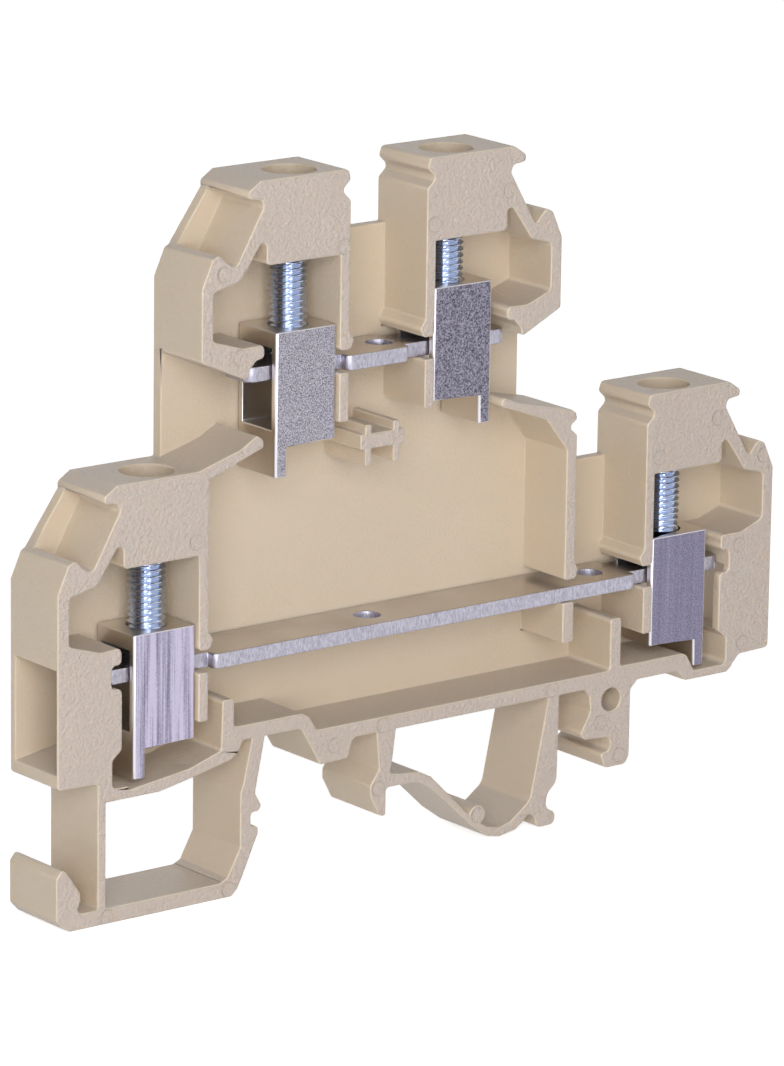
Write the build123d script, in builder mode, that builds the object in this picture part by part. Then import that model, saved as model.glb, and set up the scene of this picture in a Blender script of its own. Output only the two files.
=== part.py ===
from build123d import *
import os
from math import cos, radians, tan

# A double level terminal block for a 35 mm rail, open on its front side.
# X runs along the block, Y through its thickness with the open side at -Y, and Z up.
# The origin is on the rail's centre line, level with the top of the rail's lips,
# halfway through the thickness. Sizes are in millimetres.

# Moulding
block_depth = 6.2
back_wall = 1.0
corner_radius = 0.4

# Rail and foot
rail_width = 35.0
rail_gap = 0.25
lip_groove = 1.15
foot_drop = 6.35
foot_bar = 1.25
foot_window_width = 12.5
foot_leg = 0.75
foot_hole_radius = 0.95
beam_thickness = 1.2

# Clamping screws: where their axes stand, and the levels of the two tiers
upper_left_x = -12.7
upper_pitch = 15.0
lower_left_x = -25.7
lower_pitch = 50.4
floor_height = 4.1
tier_step = 21.4
screw_y = -0.4

# Chamber round each cage
left_reach = 9.95
right_reach = 9.45
chamber_wall = 0.9
guide_height = 6.5
guide_outer = 4.0
arm_wall = 1.05
stub_length = 3.8
web_drop = 5.8

# Cages
cage_width = 5.7
cage_depth = 4.8
cage_height = 8.85
cage_tongue = 11.2
tongue_plate = 1.15
cage_plate = 1.3
window_width = 3.7
cage_gap = 0.1
cage_drop = 11.85
raised_cage_lift = 1.6
floor_gap = 0.25

# Current bars
bar_thickness = 1.2
bar_drop = 14.4
bar_neck_width = 3.3
bar_tip_reach = 4.9
bar_front_gap = 0.15
bar_seat_gap = 0.05
jumper_hole_radius = 1.05

# Screws
thread_radius = 1.45
thread_gap = 0.05
head_radius = 2.02
head_gap = 0.08
head_height = 2.3
head_drop = 2.9
shank_hole_gap = 0.2
slot_width = 0.6
slot_depth = 1.1
tip_gap = 0.05

# Levels and faces that follow from the sizes above
front_y = -block_depth / 2
back_y = block_depth / 2
chamber_height = cage_drop + cage_tongue + floor_gap
lower_top = floor_height + chamber_height
upper_top = lower_top + tier_step
upper_right_x = upper_left_x + upper_pitch
lower_right_x = lower_left_x + lower_pitch
rail_side = rail_width / 2 + rail_gap
inner_face = cage_width / 2 + cage_gap
inner_back = inner_face + chamber_wall
beam_bottom = floor_height + 0.2
left_beam_bottom = floor_height + 1.75
bar_under = bar_drop + bar_thickness


def rounded_outline(points, radius):
    # Straight sides joined by arcs of the wanted radius, or of what the two sides leave
    # room for. Each corner gives where its arc starts, its middle and its end.
    corners = []
    for i, corner in enumerate(points):
        here = Vector(*corner)
        before = Vector(*points[i - 1]) - here
        after = Vector(*points[(i + 1) % len(points)]) - here
        half_turn = radians(180 - before.get_angle(after)) / 2
        set_back = min(radius * tan(half_turn), 0.45 * before.length, 0.45 * after.length)
        if set_back < 0.02 or half_turn < radians(14):
            corners.append((here, None, here))
            continue
        inward = (before.normalized() + after.normalized()).normalized()
        middle = here + inward * (set_back / tan(half_turn) * (1 / cos(half_turn) - 1))
        start = here + before.normalized() * set_back
        end = here + after.normalized() * set_back
        corners.append((start, middle, end))
    for i, (start, middle, end) in enumerate(corners):
        if middle is not None:
            ThreePointArc(start, middle, end)
        Line(end, corners[(i + 1) % len(corners)][0])


def outline(points, radius=corner_radius):
    # A closed area with rounded corners, for the sketch that is open.
    with BuildLine() as edge:
        rounded_outline(points, radius)
    make_face(edge.edges())


def at_screw(x, side, top, pairs):
    # Points given as distance outward from a screw's axis and depth below its tier's top.
    return [(x + side * out, top - down) for out, down in pairs]


def down_arm(reach, depth):
    # The back wall's way over the arm's bump and down inside the arm.
    return [(reach - 1.0, 5.75), (reach - 0.5, 7.5), (reach - 0.5, depth)]


def guide_and_arm(x, side, top, reach, grooved):
    # The block round a screw's head, with a cap lip outside and a latch groove inside,
    # then the sloping marker pocket and the arm that hangs outside the cage over the
    # bar's tip.
    groove = [(-inner_back, 2.4), (0.85 - inner_back, 1.6), (-inner_back, 0.8)]
    if not grooved:
        groove = [(-inner_back, 0.8)]
    cap = [(0.25 - inner_back, 0), (4.6, 0), (5.75, 0.75), (5.7, 1.3), (4.5, 1.45), (4.3, 2.0)]
    outside = [
        (6.85, 6.4),
        (reach - 2.2, 5.8),
        (reach - 1.6, 5.2),
        (reach - 0.95, 5.5),
        (reach, 7.6),
        (reach, 13.2),
    ]
    finger = [
        (5.65, 15.05),
        (5.5, 14.3),
        (4.9, bar_drop - 0.75),
        (4.15, bar_drop - 0.9),
        (4.15, bar_drop - 1.9),
    ]
    inside = [
        (6.15, 12.55),
        (reach - arm_wall, 11.7),
        (reach - arm_wall, 8.0),
        (6.4, 7.4),
        (guide_outer, 4.0),
        (guide_outer, guide_height),
        (-inner_back, guide_height),
    ]
    outline(at_screw(x, side, top, groove + cap + outside + finger + inside))


def chamber_side(x, side, top):
    # The wall between the cage and the middle of the block, cut off above the bar's
    # slot in a rounded foot, and the stub below the slot that the bar lies on.
    foot = bar_drop - 0.5
    wall = [
        (-inner_face, guide_height - 0.5),
        (-inner_face, foot),
        (-inner_back - 0.1, foot),
        (-inner_back - 0.5, foot - 0.7),
        (-inner_back, foot - 1.4),
        (-inner_back, guide_height - 0.5),
    ]
    outline(at_screw(x, side, top, wall))
    stub_top = bar_under + bar_seat_gap
    stub = [
        (-inner_face, stub_top),
        (-inner_face, stub_top + stub_length),
        (-inner_back, stub_top + stub_length),
        (-inner_back, stub_top),
    ]
    outline(at_screw(x, side, top, stub), 0.2)


def wire_wall(x, side, top, reach):
    # The closed lower wire entry: a front wall with a notch for the bar's tip.
    notch_top = bar_drop - 0.6
    notch_foot = bar_under + bar_seat_gap
    wall = [
        (reach, 12.0),
        (reach, chamber_height - 0.7),
        (6.4, chamber_height - 0.6),
        (5.1, chamber_height + 0.7),
        (3.4, chamber_height + 0.7),
        (3.4, chamber_height),
        (4.95, chamber_height),
        (4.95, chamber_height - 2.2),
        (4.1, chamber_height - 2.9),
        (4.1, notch_foot),
        (bar_tip_reach + 0.15, notch_foot),
        (bar_tip_reach + 0.15, notch_top),
        (4.15, notch_top),
        (4.15, notch_top - 0.85),
        (4.9, notch_top - 1.0),
    ]
    outline(at_screw(x, side, top, wall))


def wire_funnel(x, side, top, reach):
    # The wire's way in through the outer end, wide at the mouth and narrow at the cage.
    mouth_x = x + side * (reach + 0.01)
    throat_x = x + side * (guide_outer - 0.2)
    mouth = Plane(origin=(mouth_x, 0, 0), x_dir=(0, 1, 0), z_dir=(1, 0, 0))
    throat = Plane(origin=(throat_x, 0, 0), x_dir=(0, 1, 0), z_dir=(1, 0, 0))
    with BuildSketch(mouth) as wide:
        with Locations((-0.2, top - 17.45)):
            Rectangle(block_depth - 0.9, 8.1)
    with BuildSketch(throat) as narrow:
        with Locations((screw_y + 0.35, top - bar_under - 2.45)):
            Rectangle(4.3, 4.6)
    loft([wide.sketch, narrow.sketch], mode=Mode.SUBTRACT)


def screw_bore(x, top):
    # The guide bore for the head, and the smaller hole that lets the thread through.
    for radius, depth in (
        (head_radius + head_gap, head_drop + head_height + 0.1),
        (thread_radius + shank_hole_gap, guide_height + 0.1),
    ):
        with BuildSketch(Plane.XY.offset(top)) as circle:
            with Locations((x, screw_y)):
                Circle(radius)
        extrude(circle.sketch, amount=-depth, mode=Mode.SUBTRACT)


# Each chamber: axis, which way its wire entry faces, top, reach and whether it is grooved
chambers = {
    "upper_left": (upper_left_x, -1, upper_top, left_reach, True),
    "upper_right": (upper_right_x, 1, upper_top, right_reach, True),
    "lower_left": (lower_left_x, -1, lower_top, left_reach, False),
    "lower_right": (lower_right_x, 1, lower_top, right_reach, True),
}

# Lines of the middle walls
left_wall_x = lower_left_x + inner_back
right_wall_x = lower_right_x - inner_back
partition_x = lower_right_x - 11.0
left_edge_x = upper_left_x - left_reach
right_edge_x = upper_right_x + right_reach
slot_x = lower_left_x + 7.95
foot_left_x = -rail_side - 1.0 - foot_window_width

# Outlines of the back wall behind each tier. They run inside the ribs that stand on
# them, and show only where there is no rib.
in_middle_side = [(0.5 - inner_back, web_drop)]
past_marker = [(4.4, 0.8), (5.5, 0.95)]

upper_web = (
    at_screw(upper_left_x, -1, upper_top, in_middle_side + past_marker + down_arm(left_reach, 12.0))
    + [(left_edge_x, upper_top - 12.5), (left_edge_x, lower_top - 1)]
    + [(right_edge_x, lower_top - 1), (right_edge_x, upper_top - 12.5)]
    + at_screw(
        upper_right_x, 1, upper_top, (in_middle_side + past_marker + down_arm(right_reach, 12.0))[::-1]
    )
)
past_wire_wall = [(6.3, chamber_height - 1.1), (5.3, chamber_height - 0.1)]
lower_web = (
    at_screw(
        lower_left_x,
        -1,
        lower_top,
        past_marker + down_arm(left_reach, chamber_height - 1.2) + past_wire_wall,
    )
    + [
        (lower_left_x - 4.9, floor_height - 0.5),
        (lower_left_x - 0.6, floor_height - 0.45),
        (lower_left_x + 2.3, floor_height),
        (lower_left_x + 5.1, floor_height + 0.75),
        (slot_x - 1.9, floor_height + 1.5),
        (slot_x - 1.0, left_beam_bottom + 0.6),
        (-13.1, left_beam_bottom + 0.6),
        (-12.1, beam_bottom + 0.6),
        (lower_right_x - 0.5, beam_bottom + 0.6),
        (lower_right_x + 0.9, floor_height + 0.2),
        (lower_right_x + 1.3, floor_height - 0.35),
        (lower_right_x + 5.0, floor_height - 0.35),
    ]
    + at_screw(
        lower_right_x,
        1,
        lower_top,
        (in_middle_side + past_marker + down_arm(right_reach, chamber_height - 1.2) + past_wire_wall)[::-1],
    )
    + [
        (partition_x - 0.5, lower_top - web_drop),
        (partition_x - 0.9, lower_top - 0.7),
        (lower_left_x + 0.5, lower_top - 0.7),
    ]
)

# Floor of the left chamber, the beams with their tooth and posts, and the right floor
floor_and_beams = [
    (lower_left_x - 6.0, floor_height),
    (lower_left_x - 3.3, floor_height - 0.3),
    (lower_left_x + 2.2, floor_height + 0.4),
    (lower_left_x + 5.1, floor_height + 1.3),
    (lower_left_x + 5.2, floor_height + 5.2),
    (lower_left_x + 6.3, floor_height + 5.2),
    (lower_left_x + 6.3, left_beam_bottom + beam_thickness),
    (-12.95, left_beam_bottom + beam_thickness),
    (-12.25, left_beam_bottom + beam_thickness - 0.4),
    (-11.5, beam_bottom + beam_thickness),
    (lower_right_x - 7.15, beam_bottom + beam_thickness),
    (lower_right_x - 7.15, floor_height + 5.6),
    (lower_right_x - 6.05, floor_height + 5.6),
    (lower_right_x - 6.05, floor_height + 1.6),
    (lower_right_x + 0.3, floor_height + 1.6),
    (lower_right_x + 0.85, floor_height + 1.4),
    (lower_right_x + 1.65, floor_height),
    (lower_right_x + 6.0, floor_height),
    (lower_right_x + 5.1, floor_height - 0.7),
    (lower_right_x + 0.75, floor_height - 0.7),
    (lower_right_x, beam_bottom),
    (-7.8, beam_bottom),
    (-8.05, floor_height),
    (-8.55, floor_height - 1.35),
    (-11.15, floor_height - 1.45),
    (-12.95, floor_height + 1.6),
    (-13.3, left_beam_bottom),
    (slot_x - 0.8, left_beam_bottom),
    (slot_x - 1.3, floor_height + 0.8),
    (slot_x - 1.95, floor_height + 0.4),
    (lower_left_x + 2.3, floor_height - 0.4),
    (lower_left_x - 0.6, floor_height - 0.95),
    (lower_left_x - 6.0, floor_height - 0.95),
]

# Left foot: a thin leg, the bottom bar with its pull hook, and the leg with the groove
# for the rail's left lip
thin_leg = [
    (foot_left_x, floor_height + 0.8),
    (foot_left_x - foot_leg, floor_height + 0.8),
    (foot_left_x - foot_leg, 0.5 - foot_drop),
    (foot_left_x, 0.5 - foot_drop),
]
hook_and_bar = [
    (foot_left_x - 4.5, 4.35 - foot_drop),
    (foot_left_x - 4.0, 4.95 - foot_drop),
    (foot_left_x - 3.6, 4.75 - foot_drop),
    (foot_left_x - 2.3, 2.85 - foot_drop),
    (foot_left_x - 2.3, 2.3 - foot_drop),
    (foot_left_x - 2.6, 1.55 - foot_drop),
    (foot_left_x - 2.3, foot_bar - foot_drop),
    (-rail_side - 2.3, foot_bar - foot_drop),
    (-rail_side - 1.2, 0.55 - foot_drop),
    (-rail_side - 1.8, -foot_drop),
    (foot_left_x - 3.2, -foot_drop),
    (foot_left_x - 3.8, 0.3 - foot_drop),
    (foot_left_x - 4.5, 1.05 - foot_drop),
]
grooved_leg = [
    (-rail_side + 0.2, left_beam_bottom + 0.65),
    (-rail_side - 0.7, 2.5),
    (-rail_side - 1.0, 1.7),
    (-rail_side - 1.0, 3.75 - foot_drop),
    (-rail_side - 2.2, 1.55 - foot_drop),
    (-rail_side - 2.9, foot_bar - foot_drop),
    (-rail_side - 2.9, 0.1 - foot_drop),
    (-rail_side - 1.8, 0.1 - foot_drop),
    (-rail_side - 1.2, 0.55 - foot_drop),
    (-rail_side - 0.7, 1.55 - foot_drop),
    (-rail_side + 0.7, -lip_groove - 0.6),
    (-rail_side + 0.7, -lip_groove),
    (-rail_side, -lip_groove),
    (-rail_side, 0),
    (-rail_side + 0.7, 0),
    (-rail_side + 1.0, 0.4),
    (-rail_side + 0.4, 1.5),
    (-rail_side + 1.4, left_beam_bottom + 0.65),
]

# Barb that snaps behind the rail, with the root of the spring at its right
barb = [
    (-5.8, beam_bottom + 0.7),
    (-5.45, 1.3),
    (-6.3, 0.1),
    (-6.3, -0.7),
    (-5.4, -2.4),
    (-4.75, -2.6),
    (-4.75, -0.3),
    (-3.45, -0.3),
    (-3.45, 0.65),
    (-4.4, 0.75),
    (-4.15, 1.9),
    (-3.75, beam_bottom + 0.7),
]
# S-shaped spring and the leg that carries it back up to the beam, with its tail
spring = [
    (-3.8, 0.65),
    (-1.5, 0.45),
    (-0.3, -0.15),
    (3.6, -4.0),
    (5.3, -5.2),
    (6.6, -5.5),
    (7.7, -5.2),
    (9.65, -3.8),
    (11.5, beam_bottom + 0.7),
    (12.45, beam_bottom + 0.7),
    (12.35, -2.8),
    (11.35, -3.6),
    (11.3, -4.8),
    (12.3, -5.2),
    (12.15, -6.2),
    (10.35, -6.2),
    (10.15, -5.2),
    (9.5, -4.9),
    (8.95, -5.5),
    (8.15, -6.0),
    (6.6, -6.25),
    (5.4, -6.0),
    (3.65, -4.75),
    (1.1, -2.35),
    (-0.5, -1.0),
    (-1.6, -0.35),
    (-3.8, -0.3),
]
# Right foot with the groove for the rail's right lip
right_foot = [
    (rail_side - 3.35, beam_bottom + 0.7),
    (rail_side - 2.2, floor_height - 0.4),
    (rail_side - 2.1, 2.4),
    (rail_side - 3.1, 0.7),
    (rail_side - 2.6, 0.2),
    (rail_side, 0),
    (rail_side, -lip_groove),
    (rail_side - 1.0, -lip_groove),
    (rail_side - 0.5, -2.5),
    (rail_side + 1.6, -2.5),
    (rail_side + 2.0, -1.8),
    (rail_side + 2.0, floor_height - 0.5),
    (rail_side + 3.4, beam_bottom + 0.7),
]

# Ramp from the lower left chamber up under the upper one
left_ramp = [
    (left_wall_x - 2.0, lower_top - 0.9),
    (left_wall_x - 2.0, lower_top),
    (left_wall_x - 1.0, lower_top),
    (left_wall_x + 2.8, lower_top + 1.1),
    (left_wall_x + 4.4, lower_top + 2.0),
    (left_wall_x + 5.0, lower_top + 1.6),
    (left_wall_x + 5.0, lower_top + 1.0),
    (left_wall_x - 0.3, lower_top - 0.9),
]
# Ramp on the right that turns down into the partition
partition = [
    (partition_x - 7.5, lower_top + 1.8),
    (partition_x - 5.9, lower_top + 1.1),
    (partition_x - 0.6, lower_top - 0.1),
    (partition_x - 0.15, lower_top - 0.4),
    (partition_x, lower_top - 0.9),
    (partition_x - 0.8, lower_top - 1.5),
    (partition_x, lower_top - 2.2),
    (partition_x, lower_top - bar_drop + 2.0),
    (partition_x + 0.4, lower_top - bar_drop + 1.3),
    (partition_x + 0.1, lower_top - bar_drop + 0.6),
    (partition_x - 1.0, lower_top - bar_drop + 0.6),
    (partition_x - 1.0, lower_top - 3.3),
    (partition_x - 3.1, lower_top - 0.6),
    (partition_x - 7.7, lower_top + 1.1),
]
# Rest under the lower bar below the partition
partition_rest = [
    (partition_x - 1.1, lower_top - bar_under - bar_seat_gap),
    (partition_x - 1.1, lower_top - bar_under - 3.3),
    (partition_x, lower_top - bar_under - 3.3),
    (partition_x, lower_top - bar_under - bar_seat_gap),
]

with BuildPart() as housing:
    # Everything that stands from the back to the open front
    with BuildSketch(Plane.XZ.offset(-back_y)):
        for x, side, top, reach, grooved in chambers.values():
            guide_and_arm(x, side, top, reach, grooved)
            chamber_side(x, side, top)
        wire_wall(lower_left_x, -1, lower_top, left_reach)
        wire_wall(lower_right_x, 1, lower_top, right_reach)
        outline(floor_and_beams, 0.3)
        outline(thin_leg, 0)
        outline(hook_and_bar)
        outline(grooved_leg, 0.3)
        outline(barb, 0.3)
        outline(spring, 1.2)
        with Locations((4.35, -4.1)):
            Circle(0.8)
        outline(right_foot, 0.5)
        with Locations((rail_side, floor_height - 1.0)):
            Circle(foot_hole_radius, mode=Mode.SUBTRACT)
        outline(left_ramp, 0.3)
        outline(partition, 0.3)
        outline(partition_rest, 0.2)
        # Small H-shaped rib in the middle
        with Locations((-5.55, lower_top + 0.1)):
            Rectangle(4.2, 1.2)
        with Locations((-6.9, lower_top - 0.2), (-4.2, lower_top - 0.2)):
            Rectangle(0.6, 3.2)
    extrude(amount=block_depth)
    # The back wall
    with BuildSketch(Plane.XZ.offset(-back_y)):
        outline(upper_web, 0)
        outline(lower_web, 0)
    extrude(amount=back_wall)
    for x, side in ((lower_left_x, -1), (lower_right_x, 1)):
        wire_funnel(x, side, lower_top, left_reach if side < 0 else right_reach)
    for x, side, top, reach, grooved in chambers.values():
        screw_bore(x, top)


def make_bar(left_x, right_x, top, body_left, body_right, hole_places):
    # A flat bar whose narrow ends pass through the cages, with tapped jumper holes.
    body_width = block_depth - back_wall - bar_front_gap - bar_seat_gap
    body_y = front_y + bar_front_gap + body_width / 2
    with BuildPart() as bar:
        with BuildSketch(Plane.XY.offset(top - bar_under)):
            with Locations(((left_x + right_x) / 2, screw_y)):
                RectangleRounded(right_x - left_x + 2 * bar_tip_reach, bar_neck_width, 0.8)
            with Locations(((body_left + body_right) / 2, body_y)):
                RectangleRounded(body_right - body_left, body_width, 0.5)
            with Locations(*[(hole_x, screw_y) for hole_x in hole_places]):
                Circle(jumper_hole_radius, mode=Mode.SUBTRACT)
        extrude(amount=bar_thickness)
    return bar.part


def make_cage(x, side, top):
    # A rising clamp cage: a square tunnel for the bar and the wire, a tapped top and a
    # longer outer side that closes the wire entry below the tunnel.
    back = screw_y + cage_depth / 2
    half = cage_width / 2
    sides = [
        (-half, 0),
        (half, 0),
        (half, cage_tongue),
        (half - tongue_plate, cage_tongue),
        (half - tongue_plate, cage_height),
        (-half, cage_height),
    ]
    with BuildPart() as cage:
        with BuildSketch(Plane.XZ.offset(-back)):
            outline(at_screw(x, side, top, sides), 0)
        extrude(amount=cage_depth)
        fillet(cage.edges().filter_by(Axis.Z), 0.25)
        with BuildSketch(Plane.YZ.offset(x - cage_width)):
            with Locations((screw_y, top - cage_height / 2)):
                Rectangle(window_width, cage_height - 2 * cage_plate)
        extrude(amount=2 * cage_width, mode=Mode.SUBTRACT)
        with BuildSketch(Plane.XY.offset(top)):
            with Locations((x, screw_y)):
                Circle(thread_radius + thread_gap)
        extrude(amount=-2 * cage_plate, mode=Mode.SUBTRACT)
    return cage.part


def make_screw(x, top):
    # A clamping screw: slotted head in the guide bore, thread down to the bar.
    head_top = top - head_drop
    tip = top - bar_drop + tip_gap
    with BuildPart() as screw:
        with BuildSketch(Plane.XY.offset(tip)):
            with Locations((x, screw_y)):
                Circle(thread_radius)
        extrude(amount=head_top - tip)
        chamfer(screw.edges().group_by(Axis.Z)[0], 0.3)
        with BuildSketch(Plane.XY.offset(head_top)):
            with Locations((x, screw_y)):
                Circle(head_radius)
        extrude(amount=-head_height)
        chamfer(screw.edges().group_by(Axis.Z)[-1], 0.2)
        with BuildSketch(Plane.XY.offset(head_top)):
            with Locations((x, screw_y)):
                Rectangle(2.2 * head_radius, slot_width)
        extrude(amount=-slot_depth, mode=Mode.SUBTRACT)
    return screw.part


pieces = {"housing": housing.part}
pieces["upper_bar"] = make_bar(
    upper_left_x,
    upper_right_x,
    upper_top,
    upper_left_x + inner_back,
    upper_right_x - inner_back - 1.3,
    [upper_right_x - 6.25],
)
pieces["lower_bar"] = make_bar(
    lower_left_x,
    lower_right_x,
    lower_top,
    left_wall_x + 0.7,
    right_wall_x - 0.7,
    [lower_left_x + 20.95, lower_right_x - 7.25],
)
for place, (x, side, top, reach, grooved) in chambers.items():
    lift = raised_cage_lift if place == "upper_right" else 0
    pieces["cage_" + place] = make_cage(x, side, top - cage_drop + lift)
    pieces["screw_" + place] = make_screw(x, top)

os.makedirs("parts", exist_ok=True)
for name, piece in pieces.items():
    piece.label = name
    export_step(piece, "parts/" + name + ".step")
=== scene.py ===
import bmesh
import bpy
from math import cos, pi, radians, sin
from mathutils import Matrix, Vector


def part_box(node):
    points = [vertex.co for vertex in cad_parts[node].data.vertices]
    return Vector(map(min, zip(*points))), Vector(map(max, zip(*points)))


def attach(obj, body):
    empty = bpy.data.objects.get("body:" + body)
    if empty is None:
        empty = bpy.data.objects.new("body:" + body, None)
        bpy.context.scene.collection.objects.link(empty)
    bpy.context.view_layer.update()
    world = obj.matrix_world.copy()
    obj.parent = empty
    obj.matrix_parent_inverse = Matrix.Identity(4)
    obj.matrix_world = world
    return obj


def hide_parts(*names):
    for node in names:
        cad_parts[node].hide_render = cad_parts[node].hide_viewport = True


# A double level terminal block, open on its front side. Lengths are in metres unless a
# name ends in _mm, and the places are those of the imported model: X along the block, Y
# through its thickness with the open side at -Y, Z up from the rail's lips.

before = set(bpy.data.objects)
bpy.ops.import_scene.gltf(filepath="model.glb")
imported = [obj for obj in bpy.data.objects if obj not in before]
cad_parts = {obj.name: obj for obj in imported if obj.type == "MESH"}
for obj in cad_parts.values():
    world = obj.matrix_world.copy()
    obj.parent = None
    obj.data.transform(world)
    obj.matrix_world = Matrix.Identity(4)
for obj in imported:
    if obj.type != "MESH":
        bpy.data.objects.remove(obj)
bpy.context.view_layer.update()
bpy.ops.object.select_all(action="DESELECT")

mm = 0.001
places = ("upper_left", "upper_right", "lower_left", "lower_right")


# Camera

photo_height = 1066
focal_pixels = 6337.0
sensor_mm = 36.0
camera_turn = radians(38.13)
camera_down = radians(14.44)
camera_roll = radians(0.811)
camera_distance = 484.0 * mm
aim = Vector((-4.55, -3.1, 20.0)) * mm

forward = Vector((
    sin(camera_turn) * cos(camera_down),
    cos(camera_turn) * cos(camera_down),
    -sin(camera_down),
))
level = Vector((cos(camera_turn), -sin(camera_turn), 0.0))
upright = level.cross(forward)
right = cos(camera_roll) * level + sin(camera_roll) * upright
top = -sin(camera_roll) * level + cos(camera_roll) * upright
eye = aim - camera_distance * forward

camera_data = bpy.data.cameras.new("camera")
camera_data.sensor_fit = "VERTICAL"
camera_data.sensor_height = sensor_mm
camera_data.lens = focal_pixels / photo_height * sensor_mm
camera_data.clip_start = 0.01
camera_data.clip_end = 20.0
camera = bpy.data.objects.new("camera", camera_data)
bpy.context.collection.objects.link(camera)
camera.matrix_world = Matrix((
    (right.x, top.x, -forward.x, eye.x),
    (right.y, top.y, -forward.y, eye.y),
    (right.z, top.z, -forward.z, eye.z),
    (0.0, 0.0, 0.0, 1.0),
))
bpy.context.scene.camera = camera
bpy.context.scene.view_settings.view_transform = "Standard"


# Shader building. The helpers take a node tree, the new node's place on its sheet and what
# feeds it. Colours are linear red, green and blue.

def give(tree, node, into, value):
    # Feeds one input of a node with another node's output or with a plain value.
    socket = node.inputs[into]
    if isinstance(value, bpy.types.NodeSocket):
        tree.links.new(value, socket)
    elif socket.type == "RGBA":
        socket.default_value = (*value, 1.0)
    else:
        socket.default_value = value


def put(tree, kind, at, **settings):
    # One node. Settings with a capital letter are its inputs, the others its properties.
    node = tree.nodes.new("ShaderNode" + kind)
    node.location = at
    for name, value in settings.items():
        if name[0].isupper():
            give(tree, node, name.replace("_", " "), value)
        else:
            setattr(node, name, value)
    return node


def calculate(tree, at, operation, *operands, kind="Math", result="Value"):
    node = put(tree, kind, at, operation=operation)
    for number, operand in enumerate(operands):
        give(tree, node, number, operand)
    return node.outputs[result]


def remap(tree, at, value, given, wanted=(0.0, 1.0), curve="LINEAR"):
    # A value from one span, its two ends given, turned into one from the wanted span.
    node = put(
        tree, "MapRange", at, interpolation_type=curve, Value=value,
        From_Min=given[0], From_Max=given[1], To_Min=wanted[0], To_Max=wanted[1],
    )
    return node.outputs["Result"]


def mix_values(tree, at, mask, below, above):
    node = put(tree, "Mix", at, data_type="FLOAT", Factor=mask, A=below, B=above)
    return node.outputs["Result"]


def mix_colours(tree, at, mask, below, above, blend_type="MIX"):
    # One colour laid over another as far as the mask reaches.
    node = put(
        tree, "Mix", at, data_type="RGBA", blend_type=blend_type,
        Factor=mask, A=below, B=above,
    )
    return node.outputs["Result"]


def bumps(tree, at, height, depth, **settings):
    node = put(tree, "Bump", at, Height=height, Distance=depth, **settings)
    return node.outputs["Normal"]


def split_xyz(tree, at, vector):
    return put(tree, "SeparateXYZ", at, Vector=vector).outputs


def new_group(name, inputs, outputs):
    # A node group with inputs as pairs of label and kind, and outputs that are all masks.
    group = bpy.data.node_groups.new(name, "ShaderNodeTree")
    for label, kind in inputs:
        group.interface.new_socket(label, in_out="INPUT", socket_type="NodeSocket" + kind)
    for label in outputs:
        group.interface.new_socket(label, in_out="OUTPUT", socket_type="NodeSocketFloat")
    start = group.nodes.new("NodeGroupInput")
    start.location = (-900, 0)
    end = group.nodes.new("NodeGroupOutput")
    end.location = (700, 0)
    return group, start.outputs, end


def use_group(tree, group, at, **values):
    return put(tree, "Group", at, node_tree=group, **values).outputs


def make_surface_grain():
    # Fine pits and wide blotches on any surface.
    group, start, end = new_group(
        "surface_grain",
        (("Place", "Vector"), ("Pits per Metre", "Float"), ("Blotches per Metre", "Float")),
        ("Pits", "Blotches"),
    )
    for label, sheet_y, detail, roughness in (
        ("Pits", 200, 3.0, 0.6),
        ("Blotches", -100, 2.0, 0.5),
    ):
        noise = put(
            group, "TexNoise", (-500, sheet_y), Vector=start["Place"],
            Scale=start[label + " per Metre"], Detail=detail, Roughness=roughness,
        )
        give(group, end, label, noise.outputs["Fac"])
    return group


def make_drawn_lines():
    # Long scratches along one direction, left by drawing, rolling or shearing.
    group, start, end = new_group(
        "drawn_lines",
        (("Place", "Vector"), ("Stretch", "Vector"), ("Lines per Metre", "Float")),
        ("Lines",),
    )
    squeezed = calculate(
        group, (-650, 100), "MULTIPLY", start["Place"], start["Stretch"],
        kind="VectorMath", result="Vector",
    )
    noise = put(
        group, "TexNoise", (-400, 200), Vector=squeezed,
        Scale=start["Lines per Metre"], Detail=2.0, Roughness=0.7,
    )
    give(group, end, "Lines", noise.outputs["Fac"])
    return group


# Round marks that the mould's ejector pins leave on the faces towards the open front,
# each as X and Z of its middle
pin_marks_mm = (
    (-23.05, 22.0), (-20.65, 42.1), (-9.45, 42.9), (-19.15, 35.6), (-0.85, 43.6),
    (6.45, 45.4), (22.15, 22.2), (28.15, 24.6), (33.05, 20.9), (30.75, 13.8),
    (31.35, 5.6), (16.65, 1.4), (18.65, -1.6), (-9.85, 4.0), (-5.55, -0.2),
    (4.35, -4.1), (-5.15, 4.8), (11.65, 4.9), (-31.15, -5.8), (-19.85, -5.7),
)
mark_radius = 0.6 * mm
mark_slope = 0.07 * mm
rim_reach = 0.10 * mm
rim_core = 0.02 * mm
facing_open_side = -0.9


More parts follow.
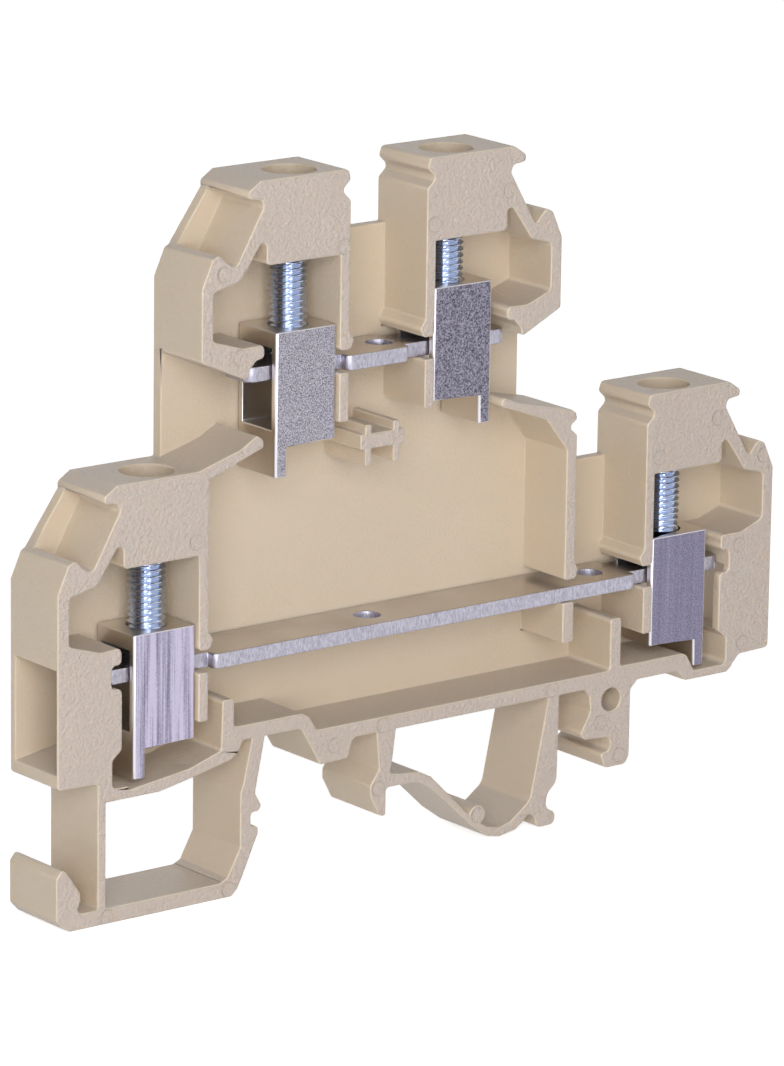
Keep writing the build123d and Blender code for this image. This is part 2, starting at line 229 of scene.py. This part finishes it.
def make_pin_marks():
    # How deep a mark is pressed, and a ring round its rim.
    group, start, end = new_group(
        "pin_marks", (("Place", "Vector"), ("Facing", "Vector")), ("Depth", "Rim")
    )
    flat_place = calculate(
        group, (-700, 0), "MULTIPLY", start["Place"], (1.0, 0.0, 1.0),
        kind="VectorMath", result="Vector",
    )
    nearest = None
    for number, (across, up) in enumerate(pin_marks_mm):
        sheet_y = -120 * number
        away = calculate(
            group, (-500, sheet_y), "DISTANCE", flat_place, (across * mm, 0.0, up * mm),
            kind="VectorMath",
        )
        if nearest is None:
            nearest = away
        else:
            nearest = calculate(group, (-300, sheet_y), "MINIMUM", nearest, away)
    inside = remap(
        group, (0, 100), nearest, (mark_radius, mark_radius - mark_slope), curve="SMOOTHSTEP"
    )
    off_rim = calculate(group, (0, -200), "SUBTRACT", nearest, mark_radius)
    off_rim = calculate(group, (150, -200), "ABSOLUTE", off_rim)
    rim = remap(group, (300, -200), off_rim, (rim_reach, rim_core), curve="SMOOTHSTEP")
    ways = split_xyz(group, (-500, 300), start["Facing"])
    to_front = calculate(group, (-300, 300), "LESS_THAN", ways["Y"], facing_open_side)
    for label, mask in (("Depth", inside), ("Rim", rim)):
        give(group, end, label, calculate(group, (500, 0), "MULTIPLY", mask, to_front))
    return group


def make_facing():
    # Which way a surface looks: to the open front, up or down, and where its edges turn.
    # Each mask grows between two sizes of a normal's part, from the first to the second.
    group, start, end = new_group(
        "facing", (("Facing", "Vector"),), ("Front", "Level", "Edge", "Front Edge")
    )
    sizes = calculate(
        group, (-700, 0), "ABSOLUTE", start["Facing"], kind="VectorMath", result="Vector"
    )
    ways = split_xyz(group, (-500, 0), sizes)
    wider = calculate(group, (-300, 100), "MAXIMUM", ways["X"], ways["Y"])
    widest = calculate(group, (-100, 100), "MAXIMUM", wider, ways["Z"])
    for label, size, span in (
        ("Front", ways["Y"], (0.90, 0.97)),
        ("Level", ways["Z"], (0.60, 0.80)),
        ("Edge", widest, (0.985, 0.93)),
        ("Front Edge", ways["Y"], (0.20, 0.45)),
    ):
        give(group, end, label, remap(group, (200, 0), size, span, curve="SMOOTHSTEP"))
    return group


surface_grain = make_surface_grain()
drawn_lines = make_drawn_lines()
pin_marks = make_pin_marks()
facing = make_facing()


# Materials. Nearly all of a noise lies within the middle span.
middle_span = (0.3, 0.7)
whole_span = (0.0, 1.0)


def new_material(name, **settings):
    material = bpy.data.materials.new(name)
    material.use_nodes = True
    tree = material.node_tree
    tree.nodes.clear()
    result = put(tree, "OutputMaterial", (900, 0))
    shader = put(tree, "BsdfPrincipled", (600, 0), **settings)
    give(tree, result, "Surface", shader.outputs["BSDF"])
    where = put(tree, "TexCoord", (-1200, 0)).outputs
    return material, tree, shader, where


def front_skin(tree, where, ways, span):
    # The faces that look to the open front and lie within its outermost span of Y.
    place = split_xyz(tree, (-900, 800), where["Object"])
    outermost = remap(tree, (-700, 800), place["Y"], span)
    return outermost, calculate(tree, (-500, 700), "MULTIPLY", outermost, ways["Front"])


def make_polyamide():
    # Beige moulding: smooth walls, and a coarser skin on its open front edges. Painted shade
    # makes that skin darker and greyer and the faces that look up or down darker, and a
    # painted highlight makes the front edges paler.
    dark_beige, light_beige = (0.645, 0.534, 0.394), (0.690, 0.578, 0.437)
    # Painted shade: this tint darkens and greys the front skin.
    front_shade_tint = (0.91, 0.925, 1.05)
    # Painted shade: this tint darkens the faces that look up or down.
    level_face_shade = (0.87, 0.89, 0.97)
    rim_tint = (0.91, 0.90, 0.88)
    # Painted highlight: this paler colour lights up the front edges.
    pale_edge_highlight = (0.75, 0.655, 0.51)
    pit_depth = 0.27 * mm
    mark_depth = 0.05 * mm
    material, tree, shader, where = new_material(
        "beige_polyamide",
        IOR=1.5,
        Subsurface_Weight=0.45,
        Subsurface_Radius=(1.0, 0.7, 0.45),
        Subsurface_Scale=0.8 * mm,
    )
    grain = use_group(
        tree, surface_grain, (-800, 0), Place=where["Object"],
        Pits_per_Metre=3300.0, Blotches_per_Metre=70.0,
    )
    marks = use_group(
        tree, pin_marks, (-800, -400), Place=where["Object"], Facing=where["Normal"]
    )
    ways = use_group(tree, facing, (-800, 300), Facing=where["Normal"])
    at_front, skin = front_skin(tree, where, ways, (-2.9 * mm, -3.0 * mm))
    # Mask of the front edges that take the painted highlight.
    off_face = calculate(tree, (-400, 700), "SUBTRACT", ways["Front Edge"], ways["Front"])
    edge = calculate(tree, (-200, 700), "MULTIPLY", off_face, at_front)

    colour = mix_colours(tree, (-300, 300), grain["Blotches"], dark_beige, light_beige)
    # Painted shade on the front skin and on the faces that look up or down, then the darker
    # ring round each pin mark.
    for sheet_x, mask, tint in (
        (-100, skin, front_shade_tint),
        (0, ways["Level"], level_face_shade),
        (100, marks["Rim"], rim_tint),
    ):
        colour = mix_colours(tree, (sheet_x, 300), mask, colour, tint, "MULTIPLY")
    # Painted highlight along the front edges.
    colour = mix_colours(tree, (300, 300), edge, colour, pale_edge_highlight)
    give(tree, shader, "Base Color", colour)

    rough = remap(tree, (0, 0), grain["Pits"], middle_span, (0.34, 0.62))
    give(tree, shader, "Roughness", rough)

    coarser = remap(tree, (-200, -200), skin, whole_span, (0.30, 1.0))
    height = calculate(tree, (0, -300), "MULTIPLY", grain["Pits"], coarser)
    pitted = bumps(tree, (200, -300), height, pit_depth, Strength=0.9)
    pressed = bumps(
        tree, (400, -300), marks["Depth"], mark_depth, Strength=1.0, Normal=pitted, invert=True
    )
    give(tree, shader, "Normal", pressed)
    return material


def make_cage_metal(name, light, dark, pits, depth, roughness, drawn):
    # Plated steel of a cage: its front coarse, fine or drawn from top to bottom, its bent
    # sides smooth, and a painted highlight along the edges between them.
    # The sides' warm tint is a painted reflection of the beige housing; their lower roughness
    # is their smoother finish.
    side_colour_and_reflection, side_roughness = (0.72, 0.67, 0.61), 0.32
    # Painted highlight colour for the cage's edges.
    edge_highlight_colour = (0.70, 0.68, 0.71)
    material, tree, shader, where = new_material(name, Metallic=1.0)
    grain = use_group(
        tree, surface_grain, (-900, 200), Place=where["Object"],
        Pits_per_Metre=pits, Blotches_per_Metre=220.0,
    )
    lines = use_group(
        tree, drawn_lines, (-900, -200), Place=where["Object"],
        Lines_per_Metre=2600.0, Stretch=(1.0, 1.0, 0.02),
    )
    ways = use_group(tree, facing, (-900, 500), Facing=where["Normal"])
    skin = front_skin(tree, where, ways, (-2.60 * mm, -2.70 * mm))[1]
    texture = mix_values(tree, (-600, 0), drawn, grain["Pits"], lines["Lines"])

    # Drawn steel shows its lines with more contrast than coarse steel its crystals
    sharper = 0.11 * drawn
    crystals = remap(tree, (-450, 100), texture, (0.32 + sharper, 0.68 - sharper))
    front = mix_colours(tree, (-250, 300), crystals, dark, light)
    # The sides take the warm tint that paints the housing's reflection.
    colour = mix_colours(tree, (-50, 300), skin, side_colour_and_reflection, front)
    # Painted highlight along the edges.
    colour = mix_colours(tree, (150, 300), ways["Edge"], colour, edge_highlight_colour)
    give(tree, shader, "Base Color", colour)

    front_rough = remap(
        tree, (-250, 0), texture, middle_span, (roughness + 0.08, roughness - 0.06)
    )
    rough = mix_values(tree, (0, 0), skin, side_roughness, front_rough)
    give(tree, shader, "Roughness", rough)

    deeper = remap(tree, (-250, -300), skin, whole_span, (0.12, 1.0))
    height = calculate(tree, (0, -300), "MULTIPLY", texture, deeper)
    give(tree, shader, "Normal", bumps(tree, (200, -300), height, depth, Strength=1.0))
    return material


def make_screw_metal():
    # Bright zinc plating, almost smooth.
    dark_zinc, light_zinc = (0.42, 0.48, 0.62), (0.58, 0.65, 0.82)
    pit_depth = 0.002 * mm
    material, tree, shader, where = new_material("bright_zinc", Metallic=1.0)
    grain = use_group(
        tree, surface_grain, (-800, 0), Place=where["Object"],
        Pits_per_Metre=4500.0, Blotches_per_Metre=300.0,
    )
    colour = mix_colours(tree, (0, 300), grain["Blotches"], dark_zinc, light_zinc)
    give(tree, shader, "Base Color", colour)
    rough = remap(tree, (0, 0), grain["Pits"], middle_span, (0.22, 0.14))
    give(tree, shader, "Roughness", rough)
    pitted = bumps(tree, (200, -300), grain["Pits"], pit_depth, Strength=1.0)
    give(tree, shader, "Normal", pitted)
    return material


def make_bar_metal():
    # Tin plated bar: smooth rolled faces above and below, torn sheared edges round it.
    dark_shear, light_shear = (0.32, 0.31, 0.37), (0.52, 0.50, 0.57)
    dark_tin, light_tin = (0.40, 0.37, 0.35), (0.72, 0.69, 0.67)
    line_depth = 0.03 * mm
    material, tree, shader, where = new_material("tinned_bar", Metallic=1.0)
    grain = use_group(
        tree, surface_grain, (-900, 300), Place=where["Object"],
        Pits_per_Metre=3800.0, Blotches_per_Metre=160.0,
    )
    torn = use_group(
        tree, drawn_lines, (-900, 0), Place=where["Object"],
        Lines_per_Metre=9000.0, Stretch=(1.0, 0.4, 0.3),
    )
    rolled = use_group(
        tree, drawn_lines, (-900, -300), Place=where["Object"],
        Lines_per_Metre=3600.0, Stretch=(0.03, 1.0, 1.0),
    )
    rolled_face = use_group(tree, facing, (-900, -600), Facing=where["Normal"])["Level"]
    texture = mix_values(tree, (-500, 0), rolled_face, torn["Lines"], rolled["Lines"])

    crystals = remap(tree, (-300, 100), texture, (0.35, 0.65))
    sheared = mix_colours(tree, (-100, 400), crystals, dark_shear, light_shear)
    flat = mix_colours(tree, (-100, 200), grain["Blotches"], dark_tin, light_tin)
    give(tree, shader, "Base Color", mix_colours(tree, (100, 300), rolled_face, sheared, flat))

    rough = remap(tree, (100, 0), rolled_face, whole_span, (0.42, 0.27))
    give(tree, shader, "Roughness", rough)

    calmer = remap(tree, (-250, -300), rolled_face, whole_span, (1.0, 0.3))
    height = calculate(tree, (0, -300), "MULTIPLY", texture, calmer)
    give(tree, shader, "Normal", bumps(tree, (200, -300), height, line_depth, Strength=1.0))
    return material


polyamide = make_polyamide()
cage_metals = {
    "upper_left": make_cage_metal(
        "coarse_cage_steel", light=(0.56, 0.54, 0.60), dark=(0.09, 0.085, 0.11),
        pits=9000.0, depth=0.02 * mm, roughness=0.40, drawn=0.0,
    ),
    "upper_right": make_cage_metal(
        "dark_cage_steel", light=(0.38, 0.36, 0.44), dark=(0.03, 0.028, 0.045),
        pits=8000.0, depth=0.02 * mm, roughness=0.42, drawn=0.0,
    ),
    "lower_right": make_cage_metal(
        "fine_cage_steel", light=(0.31, 0.29, 0.39), dark=(0.12, 0.11, 0.165),
        pits=11000.0, depth=0.010 * mm, roughness=0.38, drawn=0.2,
    ),
    "lower_left": make_cage_metal(
        "drawn_cage_steel", light=(0.52, 0.48, 0.61), dark=(0.20, 0.185, 0.26),
        pits=8000.0, depth=0.012 * mm, roughness=0.34, drawn=0.8,
    ),
}
screw_metal = make_screw_metal()
bar_metal = make_bar_metal()


# Making the pieces

merge_distance = 0.02 * mm
flat_within = radians(0.5)
sharp_edge = radians(30)
smooth_within = radians(50)
flat_face_weight = 80
softness = 0.12 * mm
bar_softness = 0.10 * mm

# Side walls with a shallow seam across them, as X of the wall and height of the seam, and
# how far from these a seam's corners lie
seams_mm = ((-1.55, 42.55), (-8.85, 42.55), (-21.85, 21.15), (20.85, 21.15))
seam_depth = 0.04 * mm
seam_reach = 0.16 * mm

# Wide flat faces are cut this far apart, at the quietest of the places tried round each
cut_spacing = 6.0 * mm
cut_tries = range(-56, 57)
cut_step_mm = 0.05
cut_snap = 0.01 * mm
crowded_within = 0.4 * mm


def select_only(piece):
    bpy.ops.object.select_all(action="DESELECT")
    piece.select_set(True)
    bpy.context.view_layer.objects.active = piece


def apply_modifier(piece, kind, **settings):
    modifier = piece.modifiers.new(kind.lower(), kind)
    for name, value in settings.items():
        setattr(modifier, name, value)
    select_only(piece)
    bpy.ops.object.modifier_apply(modifier=modifier.name)


def merged_copy(node, name, seams=()):
    # The node's own shape as one closed skin, its seams filled and its flats single faces.
    piece = bpy.data.objects.new(name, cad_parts[node].data.copy())
    bpy.context.collection.objects.link(piece)
    piece.data.materials.clear()
    for wall, height in seams:
        for vertex in piece.data.vertices:
            at_wall = abs(vertex.co.x - wall * mm) < seam_depth
            if at_wall and abs(vertex.co.z - height * mm) < seam_reach:
                vertex.co.x = wall * mm
    select_only(piece)
    bpy.ops.object.mode_set(mode="EDIT")
    bpy.ops.mesh.select_all(action="SELECT")
    bpy.ops.mesh.remove_doubles(threshold=merge_distance)
    bpy.ops.mesh.dissolve_limited(angle_limit=flat_within)
    bpy.ops.object.mode_set(mode="OBJECT")
    return piece


def crowding(place, corners):
    # How many of the shape's corners lie near a cut, the nearest counting most.
    closeness = sum(max(0.0, crowded_within - abs(corner - place)) for corner in corners)
    return round(closeness / mm, 2)


def quiet_place(wanted, corners):
    # The place near the wanted one that keeps clearest of the shape's corners.
    tries = [wanted + step * cut_step_mm * mm for step in cut_tries]
    return min(tries, key=lambda place: (crowding(place, corners), abs(place - wanted)))


def own_box(piece):
    return Vector(piece.bound_box[0]), Vector(piece.bound_box[6])


def cut_flats(piece):
    # Divides wide flat faces along level and upright lines, so that none is large.
    low, high = own_box(piece)
    shape = bmesh.new()
    shape.from_mesh(piece.data)
    for axis in (0, 2):
        across = Vector((0, 0, 0))
        across[axis] = 1
        corners = [vertex.co[axis] for vertex in shape.verts]
        wanted = low[axis] + cut_spacing / 2
        while wanted < high[axis]:
            bmesh.ops.bisect_plane(
                shape,
                geom=shape.verts[:] + shape.edges[:] + shape.faces[:],
                dist=cut_snap,
                plane_co=across * quiet_place(wanted, corners),
                plane_no=across,
            )
            wanted += cut_spacing
    shape.to_mesh(piece.data)
    shape.free()


def soften_edges(piece, width):
    # Rounds every sharp edge, and pulls back any corner that then leaves the piece's box.
    low, high = own_box(piece)
    shape = bmesh.new()
    shape.from_mesh(piece.data)
    weight = shape.edges.layers.float.new("bevel_weight_edge")
    for edge in shape.edges:
        if edge.is_manifold and edge.calc_face_angle() > sharp_edge:
            edge[weight] = 1.0
    shape.to_mesh(piece.data)
    shape.free()
    apply_modifier(
        piece,
        "BEVEL",
        width=width,
        segments=2,
        limit_method="WEIGHT",
        use_clamp_overlap=False,
        miter_outer="MITER_SHARP",
    )
    for vertex in piece.data.vertices:
        for axis in range(3):
            vertex.co[axis] = min(max(vertex.co[axis], low[axis]), high[axis])


def smooth_faces(piece):
    select_only(piece)
    bpy.ops.object.shade_smooth_by_angle(angle=smooth_within)
    apply_modifier(piece, "WEIGHTED_NORMAL", keep_sharp=True, weight=flat_face_weight)


def finish_piece(piece, material, body, node):
    piece.data.materials.clear()
    piece.data.materials.append(material)
    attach(piece, body)
    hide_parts(node)


# Housing
housing = merged_copy("housing", "moulded_housing", seams_mm)
cut_flats(housing)
soften_edges(housing, softness)
smooth_faces(housing)
finish_piece(housing, polyamide, "block", "housing")

# Current bars
for node in ("upper_bar", "lower_bar"):
    bar = merged_copy(node, node.replace("bar", "current_bar"))
    soften_edges(bar, bar_softness)
    smooth_faces(bar)
    finish_piece(bar, bar_metal, "block", node)

# Rising cages
for place in places:
    cage = merged_copy("cage_" + place, "clamp_cage_" + place)
    soften_edges(cage, softness)
    smooth_faces(cage)
    finish_piece(cage, cage_metals[place], "cage_" + place, "cage_" + place)

# Clamping screws, each a real thread below a slotted cheese head
around = 48
rings_per_turn = 8
pitch = 0.5 * mm
crest_radius = 1.45 * mm
root_radius = 1.20 * mm
crest_part = 0.12
flank_part = 0.76
point_height = 0.3 * mm
point_scale = 0.72
head_radius = 2.02 * mm
head_height = 2.3 * mm
head_chamfer = 0.15 * mm
slot_length = 2.4 * head_radius
slot_width = 0.6 * mm
slot_depth = 1.1 * mm
thread_smooth_within = radians(32)


def thread_radius(turn_part):
    # The profile over one pitch: a narrow crest, sloping flanks and a narrow root.
    away = abs(turn_part - 0.5) * 2
    slope = min(max((away - crest_part) / flank_part, 0.0), 1.0)
    return crest_radius + (root_radius - crest_radius) * slope


def raise_ring(height, scale=1.0, centre=None):
    bpy.ops.mesh.extrude_region_move(TRANSFORM_OT_translate={"value": (0, 0, height)})
    if scale != 1.0:
        bpy.ops.transform.resize(value=(scale, scale, 1), center_override=centre)


def make_clamp_screw(place):
    low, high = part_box("screw_" + place)
    centre_x = (low.x + high.x) / 2
    centre_y = (low.y + high.y) / 2
    middle = (centre_x, centre_y, 0)
    thread_foot = low.z + point_height
    thread_top = high.z - head_height
    steps = int(round((thread_top - thread_foot) / (pitch / rings_per_turn)))
    rise = (thread_top - thread_foot) / steps

    # The point, drawn down from the foot of the thread
    bpy.ops.mesh.primitive_circle_add(
        vertices=around,
        radius=crest_radius,
        fill_type="NOTHING",
        location=(centre_x, centre_y, thread_foot),
    )
    screw = bpy.context.object
    screw.name = "clamp_screw_" + place
    bpy.ops.object.transform_apply(location=True, rotation=True, scale=True)
    bpy.ops.object.mode_set(mode="EDIT")
    bpy.ops.mesh.select_all(action="SELECT")
    raise_ring(-point_height, point_scale, middle)
    bpy.ops.mesh.edge_face_add()
    bpy.ops.object.mode_set(mode="OBJECT")

    # The shank and head, drawn up from the same ring
    for vertex in screw.data.vertices:
        vertex.select = abs(vertex.co.z - thread_foot) < rise / 4
    for edge in screw.data.edges:
        edge.select = all(screw.data.vertices[v].select for v in edge.vertices)
    for face in screw.data.polygons:
        face.select = False
    bpy.ops.object.mode_set(mode="EDIT")
    bpy.ops.mesh.select_mode(type="EDGE")
    for step in range(steps):
        raise_ring(rise)
    raise_ring(0, head_radius / crest_radius, middle)
    raise_ring(head_height - head_chamfer)
    raise_ring(head_chamfer, 1 - head_chamfer / head_radius, middle)
    bpy.ops.mesh.edge_face_add()
    bpy.ops.mesh.select_all(action="SELECT")
    bpy.ops.mesh.normals_make_consistent(inside=False)
    bpy.ops.object.mode_set(mode="OBJECT")

    # The thread winds up as it turns to the left, as a right hand thread does
    for vertex in screw.data.vertices:
        height = vertex.co.z - thread_foot
        if height < -rise / 4 or height > thread_top - thread_foot - rise / 4:
            continue
        across = Vector((vertex.co.x - centre_x, vertex.co.y - centre_y))
        turn = across.angle_signed(Vector((1, 0))) / (2 * pi)
        radius = thread_radius((height / pitch - turn) % 1.0)
        vertex.co.x = centre_x + across.normalized().x * radius
        vertex.co.y = centre_y + across.normalized().y * radius

    # The slot
    bpy.ops.mesh.primitive_cube_add(size=1, location=(centre_x, centre_y, high.z))
    slot = bpy.context.object
    slot.dimensions = (slot_length, slot_width, 2 * slot_depth)
    bpy.ops.object.transform_apply(location=True, rotation=True, scale=True)
    apply_modifier(screw, "BOOLEAN", operation="DIFFERENCE", object=slot, solver="EXACT")
    bpy.data.objects.remove(slot)
    select_only(screw)
    bpy.ops.object.shade_smooth_by_angle(angle=thread_smooth_within)
    return screw


for place in places:
    screw = make_clamp_screw(place)
    finish_piece(screw, screw_metal, "screw_" + place, "screw_" + place)


# Floor, which shows white to the camera and keeps the object's shadow

white = (1.0, 1.0, 1.0)
floor_colour = (0.86, 0.86, 0.86)
floor_glow = 0.70
floor_size = 3.0
floor_middle = (0, 0.6, -6.35 * mm)


def seen_directly(tree, at):
    # 1 for what the camera, a mirror or glass sees, and 0 for the light that falls on things.
    path = put(tree, "LightPath", at).outputs
    sheet_x, sheet_y = at
    either = calculate(
        tree, (sheet_x + 200, sheet_y), "MAXIMUM", path["Is Camera Ray"], path["Is Glossy Ray"]
    )
    return calculate(
        tree, (sheet_x + 400, sheet_y), "MAXIMUM", either, path["Is Transmission Ray"]
    )


bpy.ops.mesh.primitive_grid_add(
    x_subdivisions=4, y_subdivisions=4, size=floor_size, location=floor_middle
)
floor = bpy.context.object
floor.name = "floor"
floor_material, tree, shader, where = new_material(
    "white_floor",
    Base_Color=floor_colour,
    Roughness=0.9,
    Specular_IOR_Level=0.0,
    Emission_Color=white,
)
seen = seen_directly(tree, (-400, -300))
glow = calculate(tree, (200, -300), "MULTIPLY", seen, floor_glow)
give(tree, shader, "Emission Strength", glow)
floor.data.materials.append(floor_material)


# Light

sky_colour = (0.985, 0.985, 1.02)
sky_strength = 0.33
lamp_colour = (0.965, 0.98, 1.03)

world = bpy.data.worlds.new("studio")
bpy.context.scene.world = world
world.use_nodes = True
tree = world.node_tree
tree.nodes.clear()
seen = seen_directly(tree, (-600, 0))
sky = put(
    tree, "Background", (250, 0),
    Color=mix_colours(tree, (0, 300), seen, sky_colour, white),
    Strength=remap(tree, (0, 0), seen, whole_span, (sky_strength, 1.0)),
)
put(tree, "OutputWorld", (500, 0), Surface=sky.outputs["Background"])


def add_lamp(name, place, watts, size):
    data = bpy.data.lights.new(name, "AREA")
    data.shape = "SQUARE"
    data.size = size
    data.energy = watts
    data.color = lamp_colour
    lamp = bpy.data.objects.new(name, data)
    bpy.context.collection.objects.link(lamp)
    lamp.location = place
    lamp.rotation_euler = (aim - Vector(place)).to_track_quat("-Z", "Y").to_euler()


add_lamp("by_the_camera", (-0.25, -0.37, 0.15), watts=1.60, size=0.32)
add_lamp("front_right", (0.35, -0.70, 0.20), watts=0.2, size=0.50)
add_lamp("from_behind", (0.15, 0.50, 0.01), watts=0.6, size=0.20)
